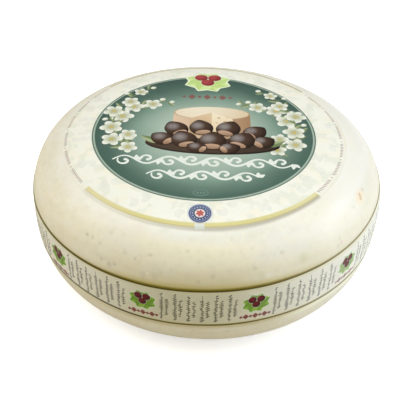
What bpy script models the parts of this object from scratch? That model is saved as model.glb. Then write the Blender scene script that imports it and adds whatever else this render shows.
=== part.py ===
"""Whole wheel of goat gouda: a domed, round-shouldered cheese in an ivory coating,
with a round paper label on its top and a paper band round its belly.

Metres, +Z up. The origin is the middle of the flat face that the wheel rests on,
and the printed front of the wheel looks along -Y.
"""

import math

import bmesh
import bpy
from mathutils import Vector

# Wheel: the widest line is the belly, with a shoulder curve above it and a foot curve below it
BELLY_RADIUS = 0.1225
BELLY_HEIGHT = 0.0606
WHEEL_HEIGHT = 0.1020
BASE_RADIUS = 0.0640
TOP_FLATNESS = 7.24         # how long the top stays level before the shoulder falls away
SHOULDER_FULLNESS = 1.81
FOOT_FLATNESS = 2.33        # how sharply the foot turns in to the flat base
FOOT_FULLNESS = 3.45

# Label: a paper disc, laid a little off the wheel's axis
LABEL_RADIUS = 0.0972
LABEL_SHIFT_X = -0.0031
LABEL_SHIFT_Y = -0.0033
LABEL_THICKNESS = 0.0004

# Band: a paper strip that runs slightly askew round the belly
BAND_LOWER_EDGE = 0.0402
BAND_UPPER_EDGE = 0.0706
BAND_TILT_X = 0.0265        # rise of the band per unit towards +X
BAND_TILT_Y = 0.0147        # rise of the band per unit towards +Y
BAND_THICKNESS = 0.0004

# Touching pieces keep this clearance
GAP = 0.0003

# Fineness of the faceted surfaces
AROUND = 96
SHOULDER_STEPS = 14
FOOT_STEPS = 9
LABEL_RINGS = 10
BAND_ROWS = 5
MERGE_DISTANCE = 0.00005

# Finish of each piece: linear red, green, blue and roughness
COATING_COLOUR = (0.80, 0.75, 0.58)
COATING_ROUGHNESS = 0.35
LABEL_COLOUR = (0.82, 0.83, 0.74)
BAND_COLOUR = (0.72, 0.69, 0.55)
PAPER_ROUGHNESS = 0.55


def shoulder_curve(turn):
    """Radius and height on the shoulder: turn 0 is the belly, a right angle the middle of the top."""
    radius = BELLY_RADIUS * max(math.cos(turn), 0.0) ** (2.0 / TOP_FLATNESS)
    rise = (WHEEL_HEIGHT - BELLY_HEIGHT) * math.sin(turn) ** (2.0 / SHOULDER_FULLNESS)
    return radius, BELLY_HEIGHT + rise


def foot_curve(turn):
    """Radius and height on the foot: turn 0 is the belly, a right angle the rim of the flat base."""
    reach = (BELLY_RADIUS - BASE_RADIUS) * max(math.cos(turn), 0.0) ** (2.0 / FOOT_FLATNESS)
    drop = BELLY_HEIGHT * math.sin(turn) ** (2.0 / FOOT_FULLNESS)
    return BASE_RADIUS + reach, BELLY_HEIGHT - drop


def top_height(radius):
    """Height of the wheel's top surface at a distance from its axis."""
    level = 1.0 - (radius / BELLY_RADIUS) ** TOP_FLATNESS
    return BELLY_HEIGHT + (WHEEL_HEIGHT - BELLY_HEIGHT) * level ** (1.0 / SHOULDER_FULLNESS)


def side_radius(height):
    """Radius of the wheel's side surface at a height."""
    if height >= BELLY_HEIGHT:
        share = (height - BELLY_HEIGHT) / (WHEEL_HEIGHT - BELLY_HEIGHT)
        return BELLY_RADIUS * (1.0 - share ** SHOULDER_FULLNESS) ** (1.0 / TOP_FLATNESS)
    share = (BELLY_HEIGHT - height) / BELLY_HEIGHT
    reach = (1.0 - share ** FOOT_FULLNESS) ** (1.0 / FOOT_FLATNESS)
    return BASE_RADIUS + (BELLY_RADIUS - BASE_RADIUS) * reach


def top_slope_normal(radius):
    """Unit vector (outward, up) that stands square on the top surface at a radius."""
    step = 0.0002
    fall = (top_height(radius + step) - top_height(max(radius - step, 0.0))) / (
        radius + step - max(radius - step, 0.0))
    return Vector((-fall, 1.0)).normalized()


def side_normal(height):
    """Unit vector (outward, up) that stands square on the side surface at a height."""
    step = 0.0002
    flare = (side_radius(height + step) - side_radius(height - step)) / (2.0 * step)
    return Vector((1.0, -flare)).normalized()


def new_collection(name):
    collection = bpy.data.collections.new(name)
    bpy.context.scene.collection.children.link(collection)
    return collection


def new_material(name, colour, roughness):
    material = bpy.data.materials.new(name)
    material.use_nodes = True
    shader = material.node_tree.nodes["Principled BSDF"]
    shader.inputs["Base Color"].default_value = (*colour, 1.0)
    shader.inputs["Roughness"].default_value = roughness
    shader.inputs["Metallic"].default_value = 0.0
    material.diffuse_color = (*colour, 1.0)
    return material


def new_part(name, bm, material, collection, location=(0.0, 0.0, 0.0)):
    """Turn a bmesh in world coordinates into a smooth-shaded object at its own place."""
    bmesh.ops.translate(bm, verts=bm.verts, vec=-Vector(location))
    mesh = bpy.data.meshes.new(name)
    bm.to_mesh(mesh)
    bm.free()
    mesh.shade_smooth()
    mesh.materials.append(material)
    part = bpy.data.objects.new(name, mesh)
    part.location = location
    collection.objects.link(part)
    return part


def chain(bm, points):
    """A line of vertices joined by edges."""
    verts = [bm.verts.new(point) for point in points]
    edges = [bm.edges.new(pair) for pair in zip(verts, verts[1:])]
    return verts + edges


def full_turn(bm, line, centre):
    """Sweep a line once round a vertical axis, so that it meets itself."""
    bmesh.ops.spin(bm, geom=line, cent=centre, axis=(0.0, 0.0, 1.0), angle=math.tau,
                   steps=AROUND, use_merge=True)
    bmesh.ops.remove_doubles(bm, verts=bm.verts, dist=MERGE_DISTANCE)


def thicken_outward(part, thickness):
    """Give a paper sheet its thickness on the side that faces away from the cheese."""
    solidify = part.modifiers.new("paper", "SOLIDIFY")
    solidify.thickness = thickness
    solidify.offset = 1.0
    solidify.use_even_offset = True


def make_wheel(collection):
    """The cheese itself: its profile, from the middle of the top to the middle of the base, turned."""
    quarter = math.pi / 2.0
    shoulder = [shoulder_curve(quarter * step / SHOULDER_STEPS) for step in range(SHOULDER_STEPS, -1, -1)]
    foot = [foot_curve(quarter * step / FOOT_STEPS) for step in range(1, FOOT_STEPS + 1)]
    profile = shoulder + foot + [(0.0, 0.0)]

    bm = bmesh.new()
    chain(bm, [(radius, 0.0, height) for radius, height in profile])
    coating = new_material("ivory_coating", COATING_COLOUR, COATING_ROUGHNESS)
    wheel = new_part("cheese_wheel", bm, coating, collection)

    turn = wheel.modifiers.new("turn", "SCREW")
    turn.axis = "Z"
    turn.angle = math.tau
    turn.steps = AROUND
    turn.render_steps = AROUND
    turn.use_merge_vertices = True
    turn.merge_threshold = MERGE_DISTANCE
    return wheel


def make_label(collection):
    """The top label: a disc of rings that lies on the dome, clear of it by the gap."""
    bm = bmesh.new()
    # The rings draw closer towards the rim, where the dome bends most
    radii = [LABEL_RADIUS * math.sin(math.pi / 2.0 * ring / LABEL_RINGS) for ring in range(LABEL_RINGS + 1)]
    centre = Vector((LABEL_SHIFT_X, LABEL_SHIFT_Y, 0.0))
    line = chain(bm, [centre + Vector((radius, 0.0, 0.0)) for radius in radii])
    full_turn(bm, line, centre)

    for vert in bm.verts:
        radius = math.hypot(vert.co.x, vert.co.y)
        outward, up = top_slope_normal(radius)
        spread = 1.0 + GAP * outward / max(radius, MERGE_DISTANCE)
        vert.co = Vector((vert.co.x * spread, vert.co.y * spread, top_height(radius) + GAP * up))
    bmesh.ops.recalc_face_normals(bm, faces=bm.faces)
    if sum(face.normal.z for face in bm.faces) < 0.0:
        bmesh.ops.reverse_faces(bm, faces=bm.faces)

    paper = new_material("label_paper", LABEL_COLOUR, PAPER_ROUGHNESS)
    label = new_part("top_label", bm, paper, collection, (LABEL_SHIFT_X, LABEL_SHIFT_Y, WHEEL_HEIGHT))
    thicken_outward(label, LABEL_THICKNESS)
    return label


def make_band(collection):
    """The belly band: a strip that follows the side of the wheel, clear of it by the gap."""
    bm = bmesh.new()
    heights = [BAND_LOWER_EDGE + (BAND_UPPER_EDGE - BAND_LOWER_EDGE) * row / BAND_ROWS
               for row in range(BAND_ROWS + 1)]
    line = chain(bm, [(BELLY_RADIUS, 0.0, height) for height in heights])
    full_turn(bm, line, (0.0, 0.0, 0.0))

    for vert in bm.verts:
        height = vert.co.z + BAND_TILT_X * vert.co.x + BAND_TILT_Y * vert.co.y
        outward, up = side_normal(height)
        reach = (side_radius(height) + GAP * outward) / BELLY_RADIUS
        vert.co = Vector((vert.co.x * reach, vert.co.y * reach, height + GAP * up))
    bmesh.ops.recalc_face_normals(bm, faces=bm.faces)
    if sum(face.normal.dot(face.calc_center_median()) for face in bm.faces) < 0.0:
        bmesh.ops.reverse_faces(bm, faces=bm.faces)

    paper = new_material("band_paper", BAND_COLOUR, PAPER_ROUGHNESS)
    middle = (BAND_LOWER_EDGE + BAND_UPPER_EDGE) / 2.0
    band = new_part("side_band", bm, paper, collection, (0.0, 0.0, middle))
    thicken_outward(band, BAND_THICKNESS)
    return band


def main():
    for leftover in list(bpy.data.objects):
        bpy.data.objects.remove(leftover, do_unlink=True)
    collection = new_collection("goat_gouda_wheel")
    wheel = make_wheel(collection)
    for wrapper in (make_label(collection), make_band(collection)):
        wrapper.parent = wheel


main()
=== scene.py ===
"""Looks of a whole goat gouda wheel: its ivory coating, its round paper label and its belly band.

Metres in the scene, +Z up, with the printed front of the wheel along -Y. An azimuth is 0 at that front
and grows towards +X. The two prints are drawn flat, in millimetres, and then laid on the wheel.
"""

import random
from cmath import phase, rect
from functools import partialmethod
from itertools import accumulate
from math import cos, hypot, pi, radians, sin, tau

import bpy
from mathutils import Matrix, Vector, noise
from mathutils.geometry import delaunay_2d_cdt


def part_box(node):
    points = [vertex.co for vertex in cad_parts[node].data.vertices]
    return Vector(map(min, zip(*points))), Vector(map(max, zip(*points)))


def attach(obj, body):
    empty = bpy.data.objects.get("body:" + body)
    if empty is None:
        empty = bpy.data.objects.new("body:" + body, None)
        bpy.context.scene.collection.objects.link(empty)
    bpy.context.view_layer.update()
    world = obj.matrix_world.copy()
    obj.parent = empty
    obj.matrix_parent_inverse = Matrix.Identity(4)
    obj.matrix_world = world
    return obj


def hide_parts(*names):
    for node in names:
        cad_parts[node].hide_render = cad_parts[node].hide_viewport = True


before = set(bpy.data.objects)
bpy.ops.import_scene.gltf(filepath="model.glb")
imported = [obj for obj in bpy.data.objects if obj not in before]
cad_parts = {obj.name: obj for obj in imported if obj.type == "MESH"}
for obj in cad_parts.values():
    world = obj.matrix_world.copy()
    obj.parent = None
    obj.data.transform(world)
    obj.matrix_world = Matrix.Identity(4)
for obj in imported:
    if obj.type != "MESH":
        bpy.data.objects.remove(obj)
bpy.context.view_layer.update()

MM = 0.001

# Wheel: the same profile curves as the solid, with its width and height read from the frame
_, wheel_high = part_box("cheese_wheel")
BELLY_RADIUS = wheel_high.x
WHEEL_HEIGHT = wheel_high.z
BELLY_HEIGHT = 0.0606
BASE_RADIUS = 0.0640
TOP_FLATNESS = 7.24
SHOULDER_FULLNESS = 1.81
FOOT_FLATNESS = 2.33
FOOT_FULLNESS = 3.45

# Label and band, laid as the solids are
LABEL_RADIUS = 0.0972
LABEL_SHIFT_X = -0.0031
LABEL_SHIFT_Y = -0.0033
BAND_LOWER_EDGE = 0.0402
BAND_UPPER_EDGE = 0.0706
BAND_TILT_X = 0.0265
BAND_TILT_Y = 0.0147

# Skin of the wheel and lie of the papers over it
SKIN_LIFT = 0.00010
PAPER_GAP = 0.00008
PAPER_THICKNESS = 0.00022
FACE_LIFT = PAPER_GAP + PAPER_THICKNESS
RIM_PRESS = 0.62            # share by which the papers sink to the skin at their edges
BROAD_WAVE = 0.034          # size of the low dents and swells
BROAD_RELIEF = 0.00016
FINE_WAVE = 0.011
FINE_RELIEF = 0.00004
FOOT_FADE = 0.006           # the relief dies out this close to the flat base
SLOPE_STEP = 0.0002         # the skin's slope is taken over this distance to both sides
NORMAL_STEP = 0.2           # the same for a paper, in millimetres

# Camera: aimed at the middle of the wheel, which sits a little off the middle of the picture
IMAGE_SIDE = 400
CAMERA_ELEVATION = radians(37.34)
CAMERA_ROLL = -0.0338
CAMERA_DISTANCE = 0.5322
CAMERA_LENS = 65.62
SENSOR_WIDTH = 36
WHEEL_MIDDLE_RIGHT_OF_CENTRE = 6.77    # pixels
WHEEL_MIDDLE_ABOVE_CENTRE = 12.19      # pixels


# Surface of the wheel

def top_height(radius):
    """Height of the upper surface at a distance from the axis."""
    level = max(1 - (radius / BELLY_RADIUS) ** TOP_FLATNESS, 0)
    return BELLY_HEIGHT + (WHEEL_HEIGHT - BELLY_HEIGHT) * level ** (1 / SHOULDER_FULLNESS)


def side_radius(height):
    """Radius of the side surface at a height."""
    if height >= BELLY_HEIGHT:
        share = (height - BELLY_HEIGHT) / (WHEEL_HEIGHT - BELLY_HEIGHT)
        return BELLY_RADIUS * (1 - share ** SHOULDER_FULLNESS) ** (1 / TOP_FLATNESS)
    share = (BELLY_HEIGHT - height) / BELLY_HEIGHT
    reach = (1 - share ** FOOT_FULLNESS) ** (1 / FOOT_FLATNESS)
    return BASE_RADIUS + (BELLY_RADIUS - BASE_RADIUS) * reach


def around(azimuth, radius, height):
    """The point at an azimuth, a distance from the axis and a height."""
    return Vector((radius * sin(azimuth), -radius * cos(azimuth), height))


def relief(place):
    """Low unevenness of the hand-coated skin at a place on the wheel, in metres."""
    broad = noise.noise(place / BROAD_WAVE)
    fine = noise.noise(place / FINE_WAVE + Vector((7.3, 1.9, 4.2)))
    return min(place.z / FOOT_FADE, 1) * (BROAD_RELIEF * broad + FINE_RELIEF * fine)


def lifted(place, normal, lift):
    """A point over a place on the wheel, lifted square off the skin."""
    return place + normal.normalized() * (SKIN_LIFT + relief(place) + lift)


def on_top(x, y, lift):
    """A point over the upper surface."""
    radius = hypot(x, y)
    inner = max(radius - SLOPE_STEP, 0)
    fall = (top_height(radius + SLOPE_STEP) - top_height(inner)) / (radius + SLOPE_STEP - inner)
    outward = Vector((x, y, 0)) / max(radius, SLOPE_STEP)
    return lifted(Vector((x, y, top_height(radius))), Vector((0, 0, 1)) - outward * fall, lift)


def on_side(azimuth, height, lift):
    """A point over the side surface."""
    flare = (side_radius(height + SLOPE_STEP) - side_radius(height - SLOPE_STEP)) / (2 * SLOPE_STEP)
    return lifted(around(azimuth, side_radius(height), height), around(azimuth, 1, -flare), lift)


# Node materials, written as sums: lengths are in metres, colours are six-digit codes or linear values

def tint(code):
    """Linear red, green and blue of a colour code."""
    channels = [int(code[start:start + 2], 16) / 255 for start in (0, 2, 4)]
    return tuple(value / 12.92 if value <= 0.04045 else ((value + 0.055) / 1.055) ** 2.4
                 for value in channels)


class Signal:
    """An output of a node: what is worked out from it becomes nodes of the same material."""

    def __init__(self, finish, socket):
        self.finish = finish
        self.socket = socket

    def act(self, operation, *others, output=0):
        """Work out the signal with others, in a node for numbers or for places."""
        kind = "Math" if self.socket.type == "VALUE" else "VectorMath"
        return self.finish.add(kind, (self, *others), output, operation=operation)

    __add__ = partialmethod(act, "ADD")
    __sub__ = partialmethod(act, "SUBTRACT")
    __mul__ = partialmethod(act, "MULTIPLY")
    __truediv__ = partialmethod(act, "DIVIDE")
    least = partialmethod(act, "MINIMUM")
    most = partialmethod(act, "MAXIMUM")

    def away(self, other=(0, 0, 0)):
        """Distance between two places."""
        return self.act("DISTANCE", other, output="Value")

    def other(self, output):
        """Another output of the same node."""
        return Signal(self.finish, self.socket.node.outputs[output])

    def parts(self):
        """The x, y and z of a place."""
        x = self.finish.add("SeparateXYZ", (self,))
        return x, x.other(1), x.other(2)

    def noise(self, size, detail=2, offset=(0, 0, 0)):
        """Soft noise over places, whose blotches are about as large as the size."""
        return self.finish.add("TexNoise", {"Vector": self + offset, "Scale": 1 / size, "Detail": detail})

    def fade(self, start, end, first=0, last=1):
        """A smooth change from the first value to the last while the signal goes from start to end."""
        return self.finish.add("MapRange", (self, start, end, first, last), interpolation_type="SMOOTHSTEP")

    def window(self, start, full, fall, end, before=0, within=1, after=0):
        """A smooth rise to the value within, and a smooth fall from it."""
        return self.fade(start, full, before, within).least(self.fade(fall, end, within, after))

    def ramp(self, stops):
        """A colour band: pairs of a position and a colour."""
        colour = self.finish.add("ValToRGB", (self,))
        elements = colour.socket.node.color_ramp.elements
        while len(elements) < len(stops):
            elements.new(1)
        for element, (position, code) in zip(elements, stops):
            element.position = position
            element.color = (*tint(code), 1)
        return colour


class Finish:
    """A material under construction."""

    def __init__(self, name):
        self.material = bpy.data.materials.new(name)
        self.material.use_nodes = True
        self.tree = self.material.node_tree

    def feed(self, socket, value):
        """Link an input to a signal, or set its value."""
        if isinstance(value, Signal):
            self.tree.links.new(value.socket, socket)
        elif socket.type == "RGBA":
            socket.default_value = (*(tint(value) if isinstance(value, str) else value), 1)
        else:
            socket.default_value = value

    def add(self, kind, inputs=(), output=0, **settings):
        """One output of a new node, whose inputs are fed in their order or by their names."""
        node = self.tree.nodes.new("ShaderNode" + kind)
        for setting, value in settings.items():
            setattr(node, setting, value)
        for key, value in inputs.items() if isinstance(inputs, dict) else enumerate(inputs):
            self.feed(node.inputs[key], value)
        return Signal(self, node.outputs[output])

    def place(self):
        """The place on the object."""
        return self.add("TexCoord", output="Object")

    def mix(self, cover, under, over, blend="MIX"):
        """One colour over another; the numbers are those of the node's sockets for colours."""
        return self.add("Mix", {0: cover, 6: under, 7: over}, 2, data_type="RGBA", blend_type=blend)

    def layers(self, colour, *layers):
        """A ground colour under layers: each has its cover, its colour and perhaps a way to blend."""
        for cover, over, *blend in layers:
            colour = self.mix(cover, colour, over, *blend)
        return colour

    def set(self, **values):
        """Feed the shader's own inputs."""
        for name, value in values.items():
            self.feed(self.tree.nodes["Principled BSDF"].inputs[name.replace("_", " ")], value)

    def bump(self, *layers):
        """Raise the surface by pairs of a height signal and its depth."""
        inputs = {}
        for height, depth in layers:
            inputs.update(Distance=depth, Height=height)
            inputs["Normal"] = self.add("Bump", inputs)
        self.set(Normal=inputs["Normal"])


# Coating of the cheese

IVORY_TOP = "f0ecdb"
IVORY_SIDE = "f1e9cd"
IVORY_FOOT = "efe7cb"
IVORY_PALE = "f8f0d0"
IVORY_TINGE = "ecdfba"
IVORY_STREAK = "e3d9b8"
IVORY_COOL = "f1eee6"
IVORY_EVEN = "efe8cf"
SPECK_GREY = "98886a"
SMUDGE_GREEN = "d9d5aa"
CREASE_OCHRE = "85700f"
CREASE_YELLOW = "c8b455"
SHADOW_MAUVE = "aea68c"
PEACH_HALO = "f6e2bc"
TAN_STREAK = "c5a470"
PINK_MARK = "efd0c8"
CRUMB_WHITE = "fbf7e6"
MAUVE_MARK = "dacdbf"
HALO_WHITE = "f7f4ea"
LIP_PALE = "fffbde"
LEE_SHADE = (0.905, 0.925, 0.920)
RAGGED_SIZE = 0.0016        # of the noise that frays the specks, and how far it moves their edges
RAGGED_REACH = 0.0022

# Marks that show in the coating: colour, cover, then azimuth in degrees, height and radius in millimetres
MARKS = (
    (SPECK_GREY, 0.20, ((-37.8, 82.7, 1.9), (-35.5, 82.9, 1.8), (-30.8, 73.6, 1.8), (-28.2, 72.8, 2.3),
                        (-26.3, 74.1, 2), (-20.2, 81.1, 1.6), (-15.8, 84.6, 1.9), (-5, 88.9, 1.9),
                        (14.5, 80.1, 1.9), (2.5, 77.1, 2.1), (-1.5, 73.8, 1.8), (23.2, 85.4, 1.7),
                        (65.2, 89.3, 2.2), (55.8, 87.7, 1.5))),
    (SPECK_GREY, 0.32, ((-37.7, 82.6, 0.9), (-28, 72.9, 1.2), (-26.2, 73.9, 0.9), (65.2, 89.4, 1))),
    (SPECK_GREY, 0.12, ((-32.5, 81.6, 2.1), (-30, 88.9, 2.3), (-23.8, 82.4, 1.9), (8.2, 93.5, 2.2),
                        (-1.5, 84.4, 1.9), (57.5, 81.1, 1.6), (44.5, 79.6, 2))),
    (MAUVE_MARK, 0.42, ((-27.5, 71.9, 2.6), (-17.2, 72.6, 3.4), (-13.8, 74.1, 3.2), (43.2, 76.1, 2.2))),
    (SMUDGE_GREEN, 0.45, ((-12.2, 76.6, 2.6), (16.5, 74.8, 3.6), (30, 79, 4.6))),
    (PINK_MARK, 0.70, ((44.8, 77.1, 1.9),)),
    (PEACH_HALO, 0.85, ((61.4, 88.7, 4.7), (60, 88.2, 3.6), (63.4, 88.6, 3.6))),
    (TAN_STREAK, 0.80, ((62.1, 89.4, 1.4), (61.8, 88.6, 1.5), (61.4, 87.8, 1.4))),
    (CRUMB_WHITE, 0.95, ((-16, 74.7, 1.3), (16.5, 78.7, 1.1))),
)


def band_height(place):
    """Height measured up the askew band."""
    x, y, z = place.parts()
    return z - (x * BAND_TILT_X + y * BAND_TILT_Y)


def lip(beyond, reach, cover):
    """Cover of a strip outside an edge of the band, from the way beyond that edge."""
    return beyond.fade(0, reach, cover, 0) * beyond.fade(-0.006, -0.005)


def ivory(place):
    """Plain colour of the coating, with broad uneven tinges and level streaks; painted light makes it whiter
    on the level top and painted shade yellower down the sides, and a painted sheen lies on the front
    shoulder.
    """
    _, y, height = place.parts()
    streak = (place * (0.35, 0.35, 1.6)).noise(0.0075, 3, (0.8, 0.5, 0.1))
    shoulder = height.window(0.076, 0.084, 0.089, 0.0945)
    return place.finish.layers(
        IVORY_FOOT,
        # painted light and shade: yellower down the shaded sides, whiter on the lit level top
        (height.fade(0.040, 0.085), IVORY_SIDE),
        (height.fade(0.083, 0.0985), IVORY_TOP),
        (place.noise(0.040).fade(0.35, 0.75, 0, 0.35), IVORY_TINGE),
        (streak.fade(0.46, 0.70, 0, 0.30), IVORY_STREAK),
        (streak.fade(0.30, 0.46, 0.35, 0), HALO_WHITE),
        # painted sheen: a paler front shoulder
        (shoulder * y.fade(-0.105, -0.070, 0.70, 0), IVORY_PALE))


def coating_material():
    """Ivory cheese coating: soft gloss, faint specks below the skin, yellowed along the papers' edges, with
    painted light and shade.
    """
    finish = Finish("ivory_coating")
    place = finish.place()
    x, y, z = place.parts()

    # The plain colour, with painted light and shade: a cool tint of the side lamps on both sides of the
    # shoulder, painted shade just before the label and on the right, and a painted highlight high on the
    # right flank
    right = x.window(0.020, 0.040, 0.055, 0.085, 0, 0.50, 0.15)
    left = x.window(-0.075, -0.055, -0.045, -0.030, 0.05, 0.30)
    shoulder = z.window(0.078, 0.086, 0.092, 0.097, after=0.3)
    label_front_shade = x.window(-0.034, -0.010, 0.018, 0.050, after=0.3) * z.fade(0.0903, 0.0945)
    label_front_shade = label_front_shade * y.fade(-0.095, -0.085, 1, 0)
    right_flank_shade = z.window(0.077, 0.083, 0.088, 0.094) * x.fade(0.072, 0.084, 0, 0.7)
    cloud = place.noise(0.009, 3, (0.3, 0.1, 0.7))
    mottle = place.noise(0.0040, 2, (0.2, 0.6, 0.4))
    colour = finish.layers(
        ivory(place),
        # painted light: the cool tint of the side lamps on both flanks
        (left.most(right) * shoulder, IVORY_COOL),
        # painted shade before the label's front and on the right flank
        (label_front_shade.most(right_flank_shade), LEE_SHADE, "MULTIPLY"),
        (cloud.fade(0.50, 0.75, 0, 0.12), SMUDGE_GREEN),
        (mottle.fade(0.52, 0.74, 0, 0.31), IVORY_STREAK),
        (mottle.fade(0.28, 0.48, 0.33, 0), IVORY_PALE),
        (x.fade(0.040, 0.080, 0, 0.45), IVORY_EVEN),
        # painted highlight high on the lit right flank
        (x.fade(0.069, 0.084, 0, 0.5) * z.fade(0.087, 0.093), HALO_WHITE))

    # Specks of crumb and herb that show through the coating, gathered here and there and ragged in outline
    fray = finish.add("TexNoise", {"Vector": place, "Scale": 1 / RAGGED_SIZE}, "Color")
    ragged = place + (fray - (0.5, 0.5, 0.5)) * (RAGGED_REACH, RAGGED_REACH, RAGGED_REACH)
    gather = ragged.noise(0.022, 1, (0.5, 0.9, 0.2)).fade(0.42, 0.64)
    for cell, reach, cover, offset in ((0.0080, 0.26, 0.26, 0), (0.0150, 0.24, 0.16, 0.37)):
        spots = finish.add("TexVoronoi", {"Vector": ragged + (offset, offset, offset), "Scale": 1 / cell})
        size = spots.other("Color").parts()[1].fade(0.62, 1) * reach
        colour = finish.mix(spots.fade(size * 0.1, size, cover, 0) * gather, colour, SPECK_GREY)

    for mark_colour, cover, marks in MARKS:
        total = 0
        for azimuth, height, radius in marks:
            centre = around(radians(azimuth), side_radius(height * MM), height * MM)
            total = ragged.away(centre).fade(0.1 * radius * MM, 1.15 * radius * MM, cover, 0).most(total)
        colour = finish.mix(total, colour, mark_colour)

    # Along both edges of the band the coating is yellowed, partly a lip of coating and partly painted crease
    # shade;
    # over the front a broad strip of painted shade, and below the band on the right a painted pale highlight.
    # Round the label the skin is whiter, with the border's soft shade
    above = band_height(place) - BAND_UPPER_EDGE
    below = band_height(place) * -1 + BAND_LOWER_EDGE
    middle = x.window(-0.065, -0.015, 0.005, 0.050, 0.1, 1, 0.1)
    spent = x.window(-0.085, -0.030, 0.025, 0.095, 0.1, 1, 0.1)
    pale = below.fade(0.0010, 0.0022, 0, 0.9).least(below.fade(0.0040, 0.0060, 1, 0))
    halo = label_axes(place)[1].fade(LABEL_RADIUS, LABEL_RADIUS + 0.0050, 0.3, 0)
    colour = finish.layers(
        colour,
        # painted shade: a broad yellow strip over the front, above the band
        (lip(above, 0.0160, 0.42) * middle, CREASE_YELLOW),
        # yellowed coating at both band edges, darkened by painted crease shade
        (lip(above, 0.0050, 0.72).most(lip(below, 0.0048, 0.62)) * spent, CREASE_YELLOW),
        (lip(above, 0.0012, 0.60).most(lip(below, 0.0008, 0.55)) * spent, CREASE_OCHRE),
        # painted highlight: a pale strip just below the band on the right
        (pale * x.fade(0.040, 0.070), LIP_PALE),
        (halo * z.fade(BAND_UPPER_EDGE, BAND_UPPER_EDGE + 0.0100), HALO_WHITE),
        (border_shade(place), SHADOW_MAUVE))

    swell = place.noise(0.0060)
    finish.bump((place.noise(0.0011), 0.00001), (swell, 0.00006))
    finish.set(Base_Color=colour, Roughness=swell.fade(0.3, 0.7, 0.34, 0.44), Specular_IOR_Level=0.45,
               Subsurface_Weight=0.12, Subsurface_Scale=0.004, Subsurface_Radius=(1, 0.75, 0.45),
               Coat_Weight=0.25, Coat_Roughness=0.22)
    return finish.material


# Label: plain rings and fields by distance from its middle, in metres

FIELD_RADIUS = 0.0742
PALE_RIM = 0.0753
DARK_RIM = 0.0762
BORDER_INNER = 0.0927
BORDER_OUTER = 0.0955
BACK_BORDER_INNER = 0.0945
BACK_BORDER_OUTER = 0.0962
BORDER_SPAN = cos(radians(49.3))      # either side of the front, and of the back
SHADE_OUTER = BORDER_OUTER + 0.0030
SHADE_OUTER_RIGHT = BORDER_OUTER + 0.0041
IVORY_FROM = 0.0935         # from here to its rim the paper takes on the ivory under and round it
GLOW_SHIFT = (0.0020, -0.0060, 0)
GLOW_REACH = 0.080

LABEL_CREAM = "f5f3e3"
LABEL_MOTTLE = "e9e9d6"
LABEL_BUFF = "f6f0d9"
RIM_PALE = "a9b9a6"
RIM_DARK = "5a7164"
BORDER_OLIVE = "d9ce86"
BORDER_EDGE = "b9aa68"
FILM_PALE = "f5f2e1"
FIBRE_SHADE = (0.35, 0.34, 0.28)
GLOW_STOPS = ((0.00, "c3d0be"), (0.30, "b7c6b4"), (0.52, "9aae9c"), (0.63, "809988"), (0.73, "667f70"),
              (0.83, "526b5e"), (1.00, "445c52"))


def label_axes(place):
    """Place from the label's middle, its distance, and cosine and sine of the way there from the front."""
    from_middle = place * (1, 1, 0) - (LABEL_SHIFT_X, LABEL_SHIFT_Y, 0)
    away = from_middle.away()
    x, y, _ = from_middle.parts()
    return from_middle, away, y / away * -1, x / away


def border_shade(place):
    """Cover of the soft shade outside the front border: broadest by its middle, deepest on its right."""
    _, away, forward, sideways = label_axes(place)
    outer = sideways.window(-0.1, 0.15, 0.15, 0.6, SHADE_OUTER, SHADE_OUTER_RIGHT, SHADE_OUTER)
    return (away.fade(BORDER_OUTER - 0.0006, BORDER_OUTER + 0.0004)
            * away.fade(BORDER_OUTER + 0.0005, outer, 1, 0)
            * forward.fade(BORDER_SPAN - 0.01, BORDER_SPAN + 0.01)
            * sideways.fade(-0.60, 0.15, 0.22, 0.85)
            * place.parts()[2].fade(BELLY_HEIGHT, BAND_UPPER_EDGE))


def ring(away, inner, outer, inner_soft=0.0001, soft=0.0001):
    """Cover of a ring between two distances from the middle."""
    return away.window(inner - inner_soft, inner + inner_soft, outer - soft, outer + soft)


def paper_surface(finish, colour, place, gloss, specular, veil=0):
    """Ink over the ground, a pale veil that dulls all but the strong colours (on the band, thin coating with
    painted sheen), then the skin of coated paper.
    """
    ink = finish.add("Attribute", attribute_name="ink")
    inked = finish.mix(ink.other("Alpha"), colour, ink)
    strength = finish.add("SeparateColor", (inked,), 1, mode="HSV")
    weak = strength.fade(0.66, 0.78, 1, 0.55).least(strength.fade(0.935, 0.975, 1, 0.08))
    fibre = place.noise(0.0005)
    colour = finish.layers(inked, (weak * veil, FILM_PALE),
                           (fibre.fade(0.3, 0.7, 0, 0.07), FIBRE_SHADE, "MULTIPLY"))
    finish.bump((fibre, 0.000004), (place.noise(0.0070, 1), 0.00003))
    finish.set(Base_Color=colour, Roughness=fibre.fade(0.3, 0.7, 0.36, 0.46), Coat_Weight=gloss,
               Coat_Roughness=0.28, Specular_IOR_Level=specular)
    return finish.material


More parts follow.
